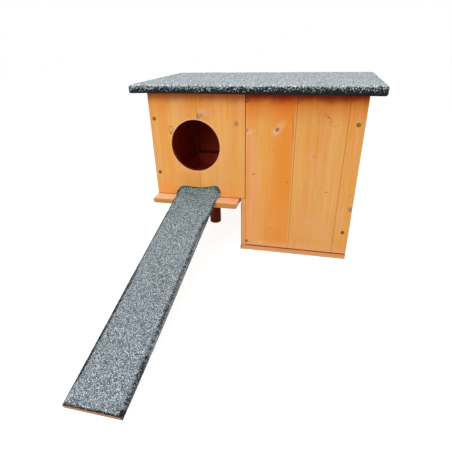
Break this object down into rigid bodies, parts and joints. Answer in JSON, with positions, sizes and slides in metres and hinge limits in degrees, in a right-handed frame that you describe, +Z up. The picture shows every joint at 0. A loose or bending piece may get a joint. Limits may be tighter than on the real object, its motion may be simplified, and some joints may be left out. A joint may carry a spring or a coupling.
{
  "type": "duck house",
  "caption": "Wooden duck house with a round entrance and perch, a stepped nest room, a flat felted lid that lifts on hinges, and a felted ramp that folds up.",
  "frame": {"origin": "on the ground, under the middle of the bounding box with the lid closed and the ramp let down", "axes": "+Z up; the front with the round entrance faces -Y and the ramp runs down towards -Y; +X to the right seen from the front, towards the nest room"},
  "size_m": [0.702, 1.1028, 0.52],
  "materials": {
    "front_wood": "honey stained softwood boards with knots, satin",
    "wall_wood": "honey stained softwood boards, satin",
    "floor_wood": "honey stained softwood boards, satin",
    "frame_wood": "stained softwood battens and boards, matt",
    "leg_wood": "stained round softwood, satin",
    "ramp_wood": "honey stained softwood, satin",
    "roof_felt": "bitumen felt with grey mineral granules, matt",
    "ramp_felt": "bitumen felt with grey mineral granules, matt",
    "zinc_steel": "zinc plated steel",
    "galvanised_steel": "galvanised steel"
  },
  "bodies": {
    "house": {"front_board_1": "front_wood", "front_board_2": "front_wood", "front_board_3": "front_wood", "front_board_4": "front_wood", "front_corner_strip": "front_wood", "back_board_1": "wall_wood", "back_board_2": "wall_wood", "back_board_3": "wall_wood", "back_board_4": "wall_wood", "left_side_board_front": "wall_wood", "left_side_board_back": "wall_wood", "right_side_board_front": "wall_wood", "right_side_board_back": "wall_wood", "step_panel_lower": "wall_wood", "step_panel_upper": "wall_wood", "perch_board": "floor_wood", "raised_floor_board_middle": "floor_wood", "raised_floor_board_back": "floor_wood", "lower_floor_board_front": "floor_wood", "lower_floor_board_middle": "floor_wood", "lower_floor_board_back": "floor_wood", "post_front_left": "frame_wood", "post_front_middle": "frame_wood", "post_front_right": "frame_wood", "post_back_left": "frame_wood", "post_back_middle": "frame_wood", "post_back_right": "frame_wood", "top_rails_front": "frame_wood", "top_rails_back": "frame_wood", "top_rails_ends": "frame_wood", "foot_rails_raised": "frame_wood", "foot_rails_lower": "frame_wood", "floor_bearers": "frame_wood", "leg": "leg_wood", "leg_screw": "zinc_steel", "front_screws": "zinc_steel", "back_screws": "zinc_steel", "side_screws": "zinc_steel", "floor_screws": "zinc_steel", "wall_hinge_leaves": "zinc_steel", "wall_hinge_screws": "zinc_steel", "hinge_pins": "zinc_steel", "perch_felt_flap": "ramp_felt"},
    "roof": {"roof_board_front": "frame_wood", "roof_board_middle": "frame_wood", "roof_board_back": "frame_wood", "roof_batten_left": "frame_wood", "roof_batten_right": "frame_wood", "roof_felt": "roof_felt", "roof_clout_nails": "galvanised_steel", "roof_screws": "zinc_steel", "roof_hinge_leaves": "zinc_steel", "roof_hinge_screws": "zinc_steel"},
    "ramp": {"ramp_board": "ramp_wood", "ramp_felt": "ramp_felt"}
  },
  "joints": [
    {"name": "roof_hinge", "type": "hinge", "parent": "house", "child": "roof", "pos_m": [-0.001, 0.54789, 0.503], "axis": [-1, 0, 0], "range_deg": [0, 180]},
    {"name": "ramp_fold", "type": "hinge", "parent": "house", "child": "ramp", "pos_m": [-0.174, 0.11079, 0.183], "axis": [-1, 0, 0], "range_deg": [0, 104.8]}
  ]
}
